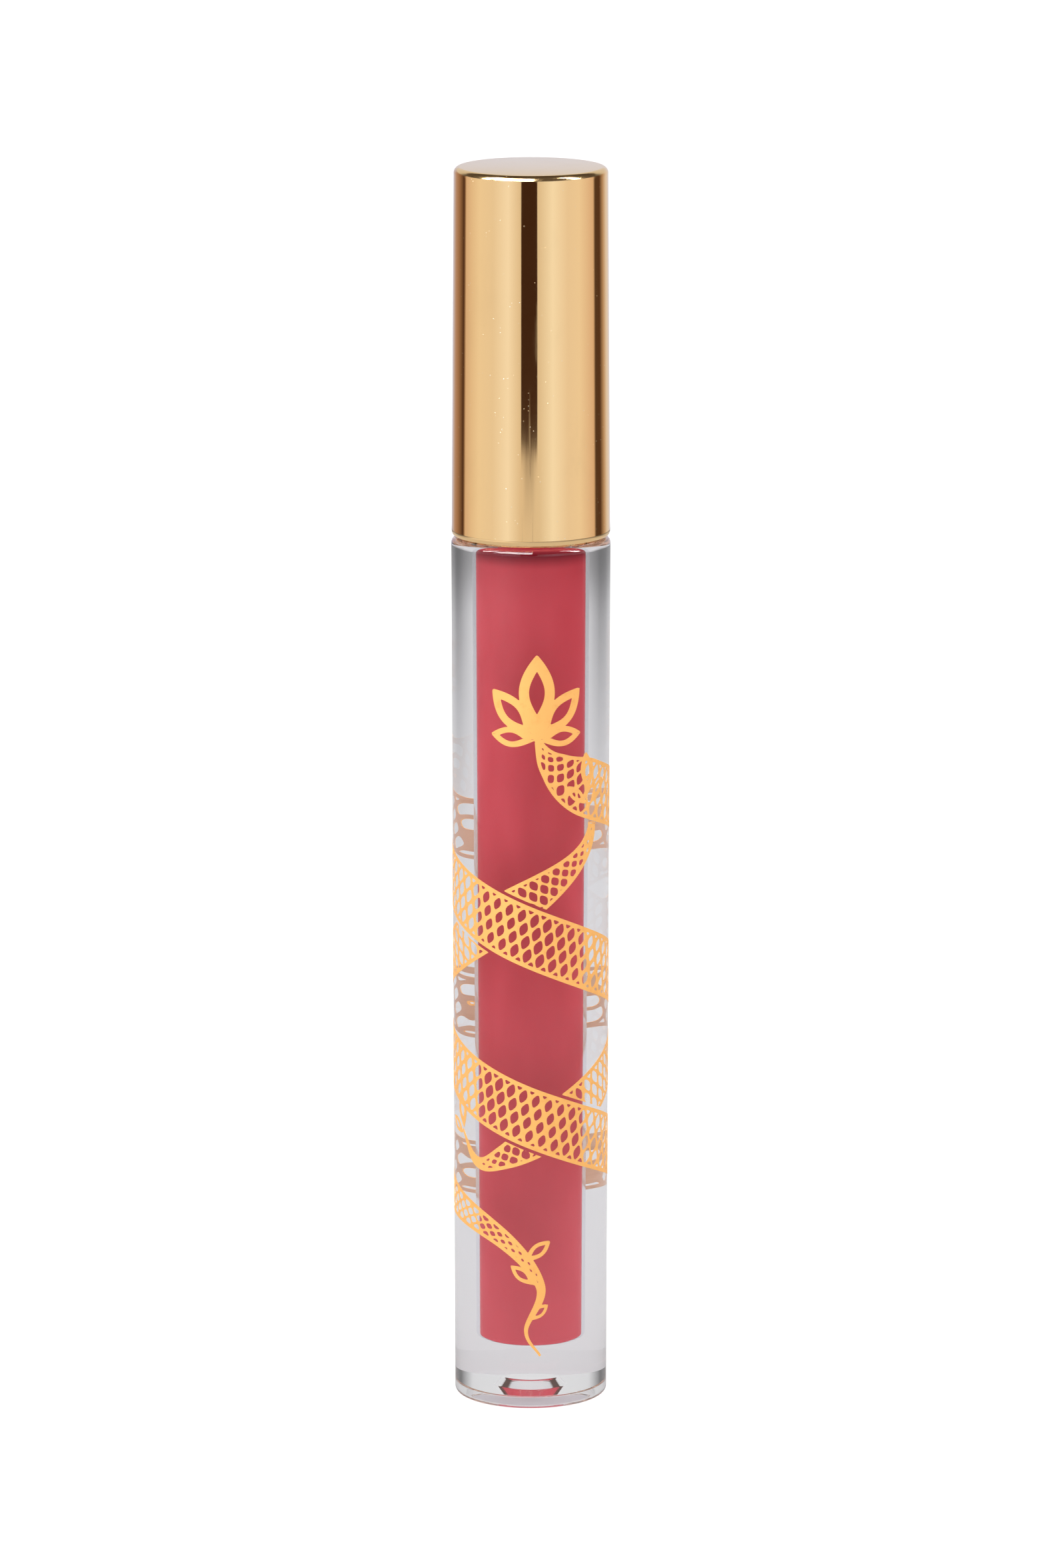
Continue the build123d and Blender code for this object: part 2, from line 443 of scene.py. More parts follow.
@dataclass(frozen=True)
class Moulded:
    """Plain moulded plastic or rubber, with flow marks and a fine skin.

    Attributes:
        name: the material's name.
        colour: the colour of the moulding.
        roughness: how dull it is.
        glow: how much light spreads inside it.
        skin: the size of the skin's grain, in millimetres.
    """

    name: str
    colour: Colour
    roughness: float
    glow: float = 0.2
    skin: float = 0.12

    def material(self) -> bpy.types.Material:
        """Builds the material."""
        g = Graph(self.name)
        flow = g.noise(4.0, 0.3, detail=3.0).above(0.4, 0.4)
        skin = g.noise(self.skin, detail=3.0)
        return g.finish(
            g.shader(
                Base_Color=g.blend(flow, self.colour, tuple(c * 0.93 for c in self.colour)),
                Roughness=self.roughness + 0.1 * skin,
                Subsurface_Weight=self.glow,
                Subsurface_Radius=(1.0, 0.9, 0.8),
                Subsurface_Scale=0.5 * MM,
                Normal=g.bump(skin, 0.006),
            )
        )


@dataclass(frozen=True)
class Flocking:
    """Short nylon fibres, stained by the gloss towards their roots.

    Attributes:
        clean: the colour of a clean fibre.
        stained: its colour where gloss has soaked in.
    """

    clean: Colour = (0.70, 0.22, 0.25)
    stained: Colour = (0.60, 0.13, 0.16)

    def material(self) -> bpy.types.Material:
        """Builds the material."""
        g = Graph("flocking")
        soaked = g.noise(1.4, detail=4.0, rough=0.6).above(0.30, 0.2)
        return g.finish(
            g.shader(
                Base_Color=g.blend(soaked, self.clean, self.stained),
                Roughness=0.55 + 0.3 * g.noise(0.1),
                Sheen_Weight=0.4,
                Normal=g.bump(g.noise(0.05), 0.02),
            )
        )


@dataclass(frozen=True)
class StudioWhite:
    """A matt white surface.

    Attributes:
        name: the material's name.
        colour: its colour.
    """

    name: str
    colour: Colour = (0.86, 0.86, 0.86)

    def material(self) -> bpy.types.Material:
        """Builds the material."""
        g = Graph(self.name)
        cloud = g.noise(90.0, detail=2.0)
        dimmer = tuple(c * 0.985 for c in self.colour)
        return g.finish(g.shader(Base_Color=g.blend(cloud, self.colour, dimmer), Roughness=0.9))


@dataclass(frozen=True)
class TableTop:
    """The matt table that the tube mirrors: even beside the tube, and shaded by direction further out.

    Attributes:
        near: its colour beside the tube.
        far: its colour further out, by the angle in degrees from the front.
        start: the distance in metres at which the shading starts.
        spread: how much further out the shading is full.
        edge: the distance in metres at which it darkens once more.
    """

    near: Colour = (0.49, 0.49, 0.505)
    far: tuple[tuple[float, float], ...] = (
        (-180, 0.42), (-146, 0.40), (-140, 0.24), (-132, 0.07), (-118, 0.06), (-108, 0.20), (-92, 0.62), (-40, 0.80),
        (0, 0.40), (48, 0.16), (92, 0.14), (112, 0.05), (120, 0.015), (128, 0.09), (137, 0.27), (145, 0.42),
        (180, 0.44),
    )
    start: float = 0.19
    spread: float = 0.40
    edge: float = 0.425

    def material(self) -> bpy.types.Material:
        """Builds the material."""
        g = Graph("table_pale")
        turn, distance, _ = g.polar()
        far = g.shades(turn, [(angle, (tone, tone, tone * 1.02)) for angle, tone in self.far])
        tone = g.blend(distance.above(self.start, self.spread), self.near, far)
        tone = g.blend(distance.above(self.edge, 0.06) * 0.55, tone, (0.08, 0.08, 0.08))
        return g.finish(g.shader(Base_Color=tone, Roughness=0.9, Specular_IOR_Level=0.0))


@dataclass(frozen=True)
class RingLight:
    """The ring of lit cloth that the cap mirrors, open in front where the dark gap is.

    Attributes:
        tones: its brightness and warmth, by the angle in degrees from the front.
        gap: the angles between which it is dark.
        gap_tone: the colour of the dark gap.
        gap_foot: the height in metres at which the gap ends below.
        rag: how uneven the gap's foot is, in metres.
        fade: how far the gap's faint shadow reaches below its foot, in metres.
    """

    tones: tuple[tuple[float, Colour], ...] = (
        (-180, (0.74, 0.80, 0.98)), (-158, (0.60, 0.58, 0.72)), (-146, (0.50, 0.35, 0.30)),
        (-134, (0.39, 0.24, 0.17)), (-124, (0.21, 0.125, 0.085)), (-117, (0.07, 0.03, 0.02)),
        (-114, (0.30, 0.20, 0.14)), (-111, (0.76, 0.62, 0.56)), (-96, (0.86, 0.78, 0.73)),
        (-82, (0.94, 0.91, 0.89)), (-58, (0.90, 0.88, 0.89)), (-34, (1.02, 1.08, 1.22)),
        (-15, (0.82, 0.78, 0.76)), (12, (0.82, 0.80, 0.80)), (32, (1.02, 1.09, 1.22)),
        (56, (0.91, 0.88, 0.90)), (76, (0.94, 0.91, 0.91)), (94, (0.84, 0.73, 0.70)),
        (105, (0.78, 0.62, 0.55)), (109, (0.10, 0.06, 0.04)), (122, (0.10, 0.05, 0.03)),
        (134, (0.54, 0.40, 0.30)), (146, (0.80, 0.77, 0.80)), (180, (0.74, 0.80, 0.98)),
    )
    gap: Point = (-14.5, 9.5)
    gap_tone: Colour = (0.055, 0.026, 0.016)
    gap_foot: float = 0.0205
    rag: float = 0.004
    fade: float = 0.012

    def material(self) -> bpy.types.Material:
        """Builds the material."""
        g = Graph("ring_cloth")
        turn, _, height = g.polar()
        cloth = g.shades(turn, self.tones)
        first, last = [angle / 360 for angle in self.gap]
        within = turn.above(first, 0.0015) * (1.0 - turn.above(last - 0.0015, 0.0015))
        soft = turn.above(first + 0.004, 0.02) * (1.0 - turn.above(last - 0.024, 0.02))
        foot = height + self.rag * g.noise(9.0, 0.4, detail=3.0)
        shadow = soft * foot.above(self.gap_foot - self.fade, self.fade + self.rag) * 0.38
        dark = within * foot.above(self.gap_foot + self.rag / 2, 0.0006)
        tone = g.blend(dark, g.blend(shadow, cloth, self.gap_tone), self.gap_tone)
        return g.finish(g.glow(tone))


@dataclass(frozen=True)
class FlatCard:
    """A studio card that shines evenly.

    Attributes:
        name: the material's name.
        light: how brightly it shines.
    """

    name: str
    light: float

    def material(self) -> bpy.types.Material:
        """Builds the material."""
        g = Graph(self.name)
        shine = g.node("ShaderNodeEmission", {}, {"Color": WHITE, "Strength": self.light})
        return g.finish(Signal(g, shine.outputs[0]))


@dataclass(frozen=True)
class Backdrop:
    """The lit cloth behind the tube, which darkens towards its sides.

    Attributes:
        tones: its brightness, by the angle in degrees from the front.
    """

    tones: tuple[tuple[float, float], ...] = (
        (-180, 0.76), (-141, 0.73), (-121, 0.12), (121, 0.12), (141, 0.73), (180, 0.76),
    )

    def material(self) -> bpy.types.Material:
        """Builds the material."""
        g = Graph("backdrop_pale")
        turn, _, _ = g.polar()
        tone = g.shades(turn, [(angle, (light, light, light)) for angle, light in self.tones])
        return g.finish(g.glow(tone))


# ---------------------------------------------------------------------------------------------------------------------
# Shapes
# ---------------------------------------------------------------------------------------------------------------------


def make_piece(
    name: str,
    points: np.ndarray,
    faces: Iterable[Sequence[int]],
    material: bpy.types.Material,
    crease: float = 35.0,
) -> bpy.types.Object:
    """Makes a smooth-shaded mesh object.

    Args:
        name: the piece's name.
        points: its vertices, in millimetres.
        faces: its faces, as vertex numbers.
        material: its finish.
        crease: the angle in degrees above which an edge stays sharp.

    Returns:
        The new object, linked to the scene.
    """
    mesh = bpy.data.meshes.new(name)
    mesh.from_pydata((np.asarray(points) * MM).tolist(), [], [list(f) for f in faces])
    mesh.validate()
    mesh.shade_smooth()
    mesh.set_sharp_from_angle(angle=math.radians(crease))
    mesh.materials.append(material)
    piece = bpy.data.objects.new(name, mesh)
    bpy.context.scene.collection.objects.link(piece)
    return piece


def settle(piece: bpy.types.Object, body: Body, slot: str, *nodes: str) -> bpy.types.Object:
    """Ties a new piece to the frame.

    Args:
        piece: the piece, in place.
        body: the body that it moves with.
        slot: not used.
        nodes: the plain pieces that it replaces.

    Returns:
        The piece.
    """
    if nodes:
        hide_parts(*nodes)
    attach(piece, body.value)
    log.info("%s rides on %s, %d faces", piece.name, body.value, len(piece.data.polygons))
    return piece


def arc_corner(before: Point, corner: Point, after: Point, radius: float, steps: int) -> list[Point]:
    """The points of a round that replaces a corner.

    Args:
        before: the point before the corner.
        corner: the corner.
        after: the point after it.
        radius: the round's radius.
        steps: how many spans the round has.

    Returns:
        The round's points, from the side of before to the side of after.
    """
    c = np.array(corner)
    a, b = np.array(before) - c, np.array(after) - c
    a, b = a / np.linalg.norm(a), b / np.linalg.norm(b)
    half = math.acos(float(np.clip(a @ b, -1, 1))) / 2
    bisector = (a + b) / np.linalg.norm(a + b)
    centre = c + bisector * radius / math.sin(half)
    start, end = c + a * radius / math.tan(half) - centre, c + b * radius / math.tan(half) - centre
    sweep = math.atan2(start[0] * end[1] - start[1] * end[0], start @ end)
    turns = [sweep * k / steps for k in range(steps + 1)]
    return [
        (
            float(centre[0] + start[0] * math.cos(t) - start[1] * math.sin(t)),
            float(centre[1] + start[0] * math.sin(t) + start[1] * math.cos(t)),
        )
        for t in turns
    ]


def soften(corners: Sequence[Corner], steps: int = 8) -> list[Point]:
    """An open outline with some of its corners rounded.

    Args:
        corners: the radius and height of each corner, and the radius of its round, or 0 where it is sharp.
        steps: how many spans each round has.

    Returns:
        The points of the softened outline.
    """
    points = [(r, z) for r, z, _ in corners]
    out: list[Point] = []
    for i, (_, _, radius) in enumerate(corners):
        out += arc_corner(points[i - 1], points[i], points[i + 1], radius, steps) if radius else [points[i]]
    return out


def refine(points: Sequence[Point], low: float, high: float, step: float) -> list[Point]:
    """An outline with extra points on the spans that lie between two heights.

    Args:
        points: the outline, as radius and height.
        low: the lower height.
        high: the upper height.
        step: the largest height between two points there.

    Returns:
        The finer outline.
    """
    out = [points[0]]
    for (r0, z0), (r1, z1) in zip(points, points[1:]):
        inside = min(z0, z1) >= low and max(z0, z1) <= high
        spans = max(1, math.ceil(abs(z1 - z0) / step)) if inside else 1
        out += [(r0 + (r1 - r0) * k / spans, z0 + (z1 - z0) * k / spans) for k in range(1, spans + 1)]
    return out


def brace(points: Sequence[Point], closed: bool, long: float = 0.8, near: float = 0.12) -> list[Point]:
    """An outline with a point near each end of its long spans, so that the rounds don't bend the flats' shading.

    Args:
        points: the outline, as radius and height.
        closed: whether its last point joins its first.
        long: the length from which a span is braced.
        near: how far from its ends the new points lie.

    Returns:
        The braced outline.
    """
    out = []
    ends = [*points[1:], points[0]] if closed else points[1:]
    for (r0, z0), (r1, z1) in zip(points, ends):
        out.append((r0, z0))
        length = math.hypot(r1 - r0, z1 - z0)
        if length > long:
            shares = (near / length, 1 - near / length)
            out += [(r0 + (r1 - r0) * share, z0 + (z1 - z0) * share) for share in shares]
    return out if closed else [*out, points[-1]]


def bands(rows: int, columns: int, joined: bool = False) -> list[list[int]]:
    """The faces between rows of points that each run once round.

    Args:
        rows: how many rows there are.
        columns: how many points each row has.
        joined: whether the last row joins the first.

    Returns:
        The faces.
    """
    pairs = [(i * columns, (i + 1) % rows * columns) for i in range(rows if joined else rows - 1)]
    return [[a + k, a + (k + 1) % columns, b + (k + 1) % columns, b + k] for a, b in pairs for k in range(columns)]


def lathe(
    outline: Sequence[Point],
    closed: bool,
    segments: int = 192,
    shift: Callable[[np.ndarray, np.ndarray, np.ndarray], np.ndarray] | None = None,
) -> tuple[np.ndarray, list[list[int]]]:
    """Turns an outline about the Z axis.

    Args:
        outline: radius and height pairs, in millimetres. An open outline starts and ends on the axis.
        closed: whether the outline is a ring that doesn't touch the axis.
        segments: how many steps go round.
        shift: gives the change in radius from the angle, radius and height of each vertex.

    Returns:
        The vertices and the faces.
    """
    rows = brace(outline if closed else outline[1:-1], closed)
    radius = np.array([r for r, _ in rows])[:, None] * np.ones(segments)
    height = np.array([z for _, z in rows])[:, None] * np.ones(segments)
    angle = np.ones(len(rows))[:, None] * (np.arange(segments) * 2 * math.pi / segments)
    if shift:
        radius = radius + shift(angle, radius, height)
    points = np.stack([radius * np.cos(angle), radius * np.sin(angle), height], axis=-1).reshape(-1, 3)
    faces = bands(len(rows), segments, joined=closed)
    if not closed:
        first, last = len(points), len(points) + 1
        points = np.vstack([points, [0, 0, outline[0][1]], [0, 0, outline[-1][1]]])
        faces += [[first, (k + 1) % segments, k] for k in range(segments)]
        top = (len(rows) - 1) * segments
        faces += [[last, top + k, top + (k + 1) % segments] for k in range(segments)]
    return points, faces


@dataclass(frozen=True)
class Thread:
    """A right-hand screw ridge round a neck.

    Attributes:
        start: the height of the ridge's middle where it begins, in millimetres.
        pitch: its rise in one turn.
        turns: how many turns it makes.
        rise: how far it stands out.
        root: its width at the neck.
        crest: its width at the top.
        run_out: the share of a turn over which each end rises out of the neck.
    """

    start: float
    pitch: float
    turns: float
    rise: float
    root: float
    crest: float
    run_out: float = 0.06

    def height_at(self, angle: np.ndarray, height: np.ndarray) -> np.ndarray:
        """How far the ridge stands out at each angle and height."""
        best = np.zeros_like(height)
        for turn in range(math.ceil(self.turns) + 1):
            along = angle / (2 * math.pi) + turn
            offset = np.abs(height - self.start - self.pitch * along)
            flank = np.clip((self.root / 2 - offset) / ((self.root - self.crest) / 2), 0, 1)
            ends = np.clip(along / self.run_out, 0, 1) * np.clip((self.turns - along) / self.run_out, 0, 1)
            best = np.maximum(best, flank * ends)
        return self.rise * best


# ---------------------------------------------------------------------------------------------------------------------
# Bottle and what stays in it
# ---------------------------------------------------------------------------------------------------------------------


@dataclass
class Bottle:
    """The clear moulding with its solid base, long chamber and threaded neck. Sizes are in millimetres."""

    base_r: float = 7.48
    chamber_floor: float = 5.7
    chamber_floor_r: float = 3.5
    bore_r: float = 3.78
    neck_r: float = 4.7
    neck_length: float = 9.5
    foot_r: float = 5.9
    foot_slope: float = 0.3
    foot_depth: float = 1.0
    gate_r: float = 2.35
    gate_top_r: float = 1.85
    gate_top: float = 1.95
    base_round: float = 0.5
    chamber_round: float = 0.5
    shoulder_round: float = 0.5
    thread: Thread = Thread(start=89.6, pitch=2.0, turns=1.5, rise=0.55, root=0.95, crest=0.45)

    def __post_init__(self) -> None:
        low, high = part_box("bottle")
        self.shoulder_r = (high.x - low.x) / 2 / MM
        self.neck_top = high.z / MM
        self.shoulder = self.neck_top - self.neck_length

    def outer_r(self, height: float | np.ndarray) -> float | np.ndarray:
        """The outside radius at a height below the shoulder."""
        return self.base_r + (self.shoulder_r - self.base_r) * height / self.shoulder

    def outline(self) -> list[Point]:
        """Half the bottle's section, from the gate dimple round to the chamber's floor."""
        corners = [
            (0, self.gate_top, 0),
            (self.gate_top_r, self.gate_top, 0.25),
            (self.gate_r, self.foot_depth, 0.15),
            (self.foot_r, self.foot_depth, 0.2),
            (self.foot_r + self.foot_slope, 0, 0.1),
            (self.base_r, 0, self.base_round),
            (self.shoulder_r, self.shoulder, self.shoulder_round),
            (self.neck_r, self.shoulder, 0.3),
            (self.neck_r, self.neck_top, 0.2),
            (self.bore_r, self.neck_top, 0.12),
            (self.bore_r, self.shoulder, 0),
            (self.chamber_floor_r, self.chamber_floor, self.chamber_round),
            (0, self.chamber_floor, 0),
        ]
        return refine(soften(corners), self.shoulder + 0.2, self.neck_top, 0.1)

    def thread_shift(self, angle: np.ndarray, radius: np.ndarray, height: np.ndarray) -> np.ndarray:
        """The change in radius that makes the thread on the outside of the neck."""
        on_neck = np.abs(radius - self.neck_r) < 0.01
        return np.where(on_neck, self.thread.height_at(angle, height), 0.0)

    def build(self, finish: ClearPlastic) -> bpy.types.Object:
        """Builds and dresses the bottle."""
        points, faces = lathe(self.outline(), closed=False, segments=256, shift=self.thread_shift)
        return settle(
            make_piece("clear_bottle", points, faces, finish.material()), Body.TUBE, "clear_plastic", "bottle"
        )


@dataclass
class GlossColumn:
    """The gloss in the chamber, which wets its wall. Sizes are in millimetres."""

    bottle: Bottle
    wetting: float = 0.02
    level: float = 87.1
    hollow_r: float = 1.82
    hollow_floor: float = 6.2

    def build(self, finish: GlossCream) -> bpy.types.Object:
        """Builds and dresses the column, with the hollow round the wand."""
        b = self.bottle
        corners = [
            (0, b.chamber_floor - self.wetting, 0),
            (b.chamber_floor_r + self.wetting, b.chamber_floor - self.wetting, b.chamber_round),
            (b.bore_r + self.wetting, b.shoulder, 0),
            (b.bore_r + self.wetting, self.level + 0.15, 0),
            (b.bore_r - 0.6, self.level - 0.1, 0.4),
            (self.hollow_r, self.level, 0.1),
            (self.hollow_r, self.hollow_floor, 0.4),
            (0, self.hollow_floor, 0),
        ]
        points, faces = lathe(soften(corners), closed=False, segments=160)
        return settle(make_piece("gloss_column", points, faces, finish.material()), Body.TUBE, "gloss", "gloss_fill")


# ---------------------------------------------------------------------------------------------------------------------
# Gilded print
# ---------------------------------------------------------------------------------------------------------------------


@dataclass(frozen=True)
class Ribbon:
    """One band of the print, drawn on the unrolled side of the bottle.

    Attributes:
        path: the middle line's points, as turns round the bottle from its front and heights in millimetres.
        half_width: the band's half width where it is full.
        taper_in: the length over which it swells from its first end.
        taper_out: the length over which it thins to its last end.
        rows: how many rows of openings lie across it.
        cell: the length of one opening along it.
    """

    path: Sequence[Point]
    half_width: float
    taper_in: float
    taper_out: float
    rows: int
    cell: float


@dataclass(frozen=True)
class Leaf:
    """One leaf of the print, with a slit along its middle.

    Attributes:
        turn: where its stalk is, as turns round the bottle from its front.
        height: the stalk's height in millimetres.
        heading: the way it points, in degrees, where 90 is up.
        length: its length.
        half_width: its half width where it is widest.
    """

    turn: float
    height: float
    heading: float
    length: float
    half_width: float


@dataclass
class GildedPrint:
    """Pierced gold ribbons wound round the bottle, cut from thin foil. Sizes are in millimetres."""

    bottle: Bottle
    columns: int = 480
    low: float = 4.0
    high: float = 80.0
    sunk: float = 0.008
    proud: float = 0.025
    edge_line: float = 0.36
    over_gap: float = 0.32
    fine_line: float = 0.12
    over: Ribbon = Ribbon(
        path=(
            (0.012, 68.2), (0.018, 66.6), (0.045, 64.6), (0.11, 62.4), (0.25, 60.0), (0.5, 56.5), (0.75, 52.5),
            (1.0, 47.5), (1.25, 42.5), (1.5, 38.5), (1.75, 34.5), (2.0, 29.5), (2.25, 25.0), (2.5, 22.0),
            (2.75, 20.5), (2.93, 17.5), (3.02, 12.5), (2.99, 8.0), (3.02, 5.4),
        ),
        half_width=2.9, taper_in=9.0, taper_out=44.0, rows=5, cell=1.35,
    )
    under: Ribbon = Ribbon(
        path=(
            (-0.17, 27.5), (-0.12, 24.6), (-0.05, 25.6), (0.08, 29.5), (0.25, 34.0), (0.5, 39.0), (0.75, 44.0),
            (1.0, 51.5), (1.12, 56.0), (1.14, 60.0), (1.10, 62.5),
        ),
        half_width=2.3, taper_in=16.0, taper_out=22.0, rows=4, cell=1.3,
    )
    crown: tuple[float, float, float] = (0.012, 67.2, 90.0)
    crown_fan: tuple[tuple[float, float, float], ...] = (
        (0, 8.4, 1.75), (42, 6.6, 1.35), (-42, 6.6, 1.35), (84, 4.6, 1.0), (-84, 4.6, 1.0),
    )
    sprigs: tuple[Leaf, ...] = (
        Leaf(1.13, 61.5, 96, 4.2, 0.8), Leaf(1.125, 60.4, 140, 3.2, 0.6), Leaf(1.135, 60.4, 48, 3.2, 0.6),
        Leaf(-0.165, 27.6, 100, 3.6, 0.75), Leaf(-0.168, 27.0, 150, 2.8, 0.6),
        Leaf(2.985, 15.0, 38, 3.4, 0.7), Leaf(3.01, 12.6, 142, 3.2, 0.65), Leaf(2.995, 9.0, 40, 2.6, 0.55),
    )

    def __post_init__(self) -> None:
        self.mean_r = self.bottle.outer_r((self.low + self.high) / 2)
        self.girth = 2 * math.pi * self.mean_r
        self.step = self.girth / self.columns
        self.rows = int((self.high - self.low) / self.step) + 1
        self.across = np.arange(self.columns) * self.step
        self.up = self.low + np.arange(self.rows) * self.step

    def middle_line(self, ribbon: Ribbon, spacing: float = 0.12) -> tuple[np.ndarray, np.ndarray, np.ndarray]:
        """A smooth curve through a ribbon's points.

        Args:
            ribbon: the ribbon.
            spacing: the distance between the curve's points.

        Returns:
            The curve's points, its directions, and the distance along it.
        """
        knots = np.array([(turn * self.girth, height) for turn, height in ribbon.path])
        knots = np.vstack([2 * knots[0] - knots[1], knots, 2 * knots[-1] - knots[-2]])
        curve = []
        for p0, p1, p2, p3 in zip(knots, knots[1:], knots[2:], knots[3:]):
            spans = max(2, int(np.linalg.norm(p2 - p1) / spacing))
            t = (np.arange(spans) / spans)[:, None]
            bend = (2 * p0 - 5 * p1 + 4 * p2 - p3) * t**2 + (3 * p1 - p0 - 3 * p2 + p3) * t**3
            curve.append(p1 + 0.5 * ((p2 - p0) * t + bend))
        points = np.vstack([*curve, knots[-2:-1]])
        ahead = np.gradient(points, axis=0)
        ahead /= np.linalg.norm(ahead, axis=1)[:, None]
        gaps = np.linalg.norm(np.diff(points, axis=0), axis=1)
        return points, ahead, np.concatenate([[0.0], np.cumsum(gaps)])

    def coordinates(self, ribbon: Ribbon) -> tuple[np.ndarray, np.ndarray, float]:
        """How far each grid point near a ribbon is along it and to its side, and the ribbon's length."""
        points, ahead, distance = self.middle_line(ribbon)
        reach = ribbon.half_width + 0.8
        cells = int(reach / self.step) + 1
        near = np.full((self.rows, self.columns), np.inf)
        along = np.zeros_like(near)
        aside = np.full_like(near, 99.0)
        for (u, z), (du, dz), s in zip(points, ahead, distance):
            row, column = round((z - self.low) / self.step), round(u / self.step)
            rows = np.arange(max(0, row - cells), min(self.rows, row + cells + 1))
            columns = np.arange(column - cells, column + cells + 1)
            window = np.ix_(rows, columns % self.columns)
            x = (columns * self.step - u)[None, :]
            y = (self.up[rows] - z)[:, None]
            square = x * x + y * y
            closer = square < near[window]
            near[window] = np.where(closer, square, near[window])
            along[window] = np.where(closer, s + x * du + y * dz, along[window])
            aside[window] = np.where(closer, x * dz - y * du, aside[window])
        return along, aside, float(distance[-1])

    def draw(self, ribbon: Ribbon) -> tuple[np.ndarray, np.ndarray]:
        """Draws a ribbon.

        Args:
            ribbon: the ribbon.

        Returns:
            The foil field, above 0 where there is foil, and the band field, above 0 inside the ribbon's edges.
        """
        along, aside, length = self.coordinates(ribbon)
        swell = np.clip(along / ribbon.taper_in, 0, 1) * np.clip((length - along) / ribbon.taper_out, 0, 1)
        width = self.fine_line + (ribbon.half_width - self.fine_line) * np.sin(swell * math.pi / 2) ** 1.6
        inside = (along > 0.02) & (along < length - 0.02)
        band = np.where(inside, width - np.abs(aside), -1.0)
        lane = (aside / width + 1) / 2 * ribbon.rows
        stride = along / ribbon.cell
        first, second = stride + lane / 2, stride - lane / 2
        a, b = np.abs(first % 1 - 0.5), np.abs(second % 1 - 0.5)
        hole = (a**3 + b**3) ** (1 / 3)
        line = 0.13 + 0.03 * np.sin(along * 0.55) + 0.37 * np.clip(1.1 - width, 0, 1)
        lattice = (hole - 0.5 + line) * ribbon.cell
        foil = np.minimum(band, np.maximum(lattice, self.edge_line - band))
        return foil, band

    def draw_leaf(self, leaf: Leaf) -> np.ndarray:
        """The foil field of one leaf."""
        u = (self.across[None, :] - leaf.turn * self.girth + self.girth / 2) % self.girth - self.girth / 2
        z = self.up[:, None] - leaf.height
        ahead = math.radians(leaf.heading)
        along = u * math.cos(ahead) + z * math.sin(ahead)
        aside = np.abs(u * math.sin(ahead) - z * math.cos(ahead))
        share = np.clip(along / leaf.length, 0, 1)
        width = leaf.half_width * np.sin(math.pi * share**1.15) ** 0.9
        slit = 0.42 * leaf.half_width * np.sin(math.pi * np.clip((share - 0.3) / 0.5, 0, 1))
        return np.minimum(width - aside, aside - slit) - 0.02

    def foil_field(self) -> np.ndarray:
        """The whole print's foil field: the under ribbon, the over ribbon that passes over it, and the leaves."""
        over, over_band = self.draw(self.over)
        under, _ = self.draw(self.under)
        foil = np.maximum(over, np.minimum(under, -over_band - self.over_gap))
        turn, height, heading = self.crown
        fan = [Leaf(turn, height, heading + lean, length, width) for lean, length, width in self.crown_fan]
        for leaf in (*fan, *self.sprigs):
            foil = np.maximum(foil, self.draw_leaf(leaf))
        return foil

    def sheet(self, foil: np.ndarray) -> tuple[np.ndarray, list[list[int]], list[tuple[int, int]]]:
        """Cuts the foil out of the grid.

        Args:
            foil: the foil field on the grid.

        Returns:
            The points as distance round and height, the faces, and the directed edges of the outline.
        """
        solid = foil > 0
        right = np.roll(foil, -1, axis=1)
        up = np.vstack([foil[1:], np.full((1, self.columns), -1.0)])
        cross_h = solid != (right > 0)
        cross_v = solid != (up > 0)
        number = np.full((3, self.rows, self.columns), -1)
        stacks = []
        count = 0
        for layer, (present, other, step) in enumerate(((solid, None, None), (cross_h, right, 0), (cross_v, up, 1))):
            i, j = np.nonzero(present)
            place = np.stack([self.across[j], self.up[i]], axis=1)
            if other is not None:
                share = foil[i, j] / (foil[i, j] - other[i, j])
                place[:, step] += share * self.step
            number[layer, i, j] = np.arange(count, count + len(i))
            count += len(i)
            stacks.append(place)
        corner_at = ((0, 0), (0, 1), (1, 1), (1, 0))
        edge_at = ((1, 0, 0), (2, 0, 1), (1, 1, 0), (2, 0, 0))
        inside = [np.roll(np.roll(solid, -di, axis=0), -dj, axis=1)[:-1] for di, dj in corner_at]
        case = sum(part.astype(int) << k for k, part in enumerate(inside))
        faces: list[list[int]] = []
        rims: list[tuple[int, int]] = []
        for pattern in range(1, 16):
            i, j = np.nonzero(case == pattern)
            if not len(i):
                continue
            ring, kinds = [], []
            for k in range(4):
                here, after = pattern >> k & 1, pattern >> (k + 1) % 4 & 1
                if here:
                    di, dj = corner_at[k]
                    ring.append(number[0, i + di, (j + dj) % self.columns])
                    kinds.append("corner")
                if here != after:
                    layer, di, dj = edge_at[k]
                    ring.append(number[layer, i + di, (j + dj) % self.columns])
                    kinds.append("out" if here else "in")
            faces += np.stack(ring, axis=1).tolist()
            for k, kind in enumerate(kinds):
                if kind == "out":
                    rims += list(zip(ring[k].tolist(), ring[(k + 1) % len(ring)].tolist()))
        return np.vstack(stacks), faces, rims

    def wrap(self, flat: np.ndarray, lift: float) -> np.ndarray:
        """Lays flat points on the bottle's side, lifted off it by a distance, with the print's start at the front."""
        radius = self.bottle.outer_r(flat[:, 1]) + lift
        angle = flat[:, 0] / self.mean_r - math.pi / 2
        return np.stack([radius * np.cos(angle), radius * np.sin(angle), flat[:, 1]], axis=1)

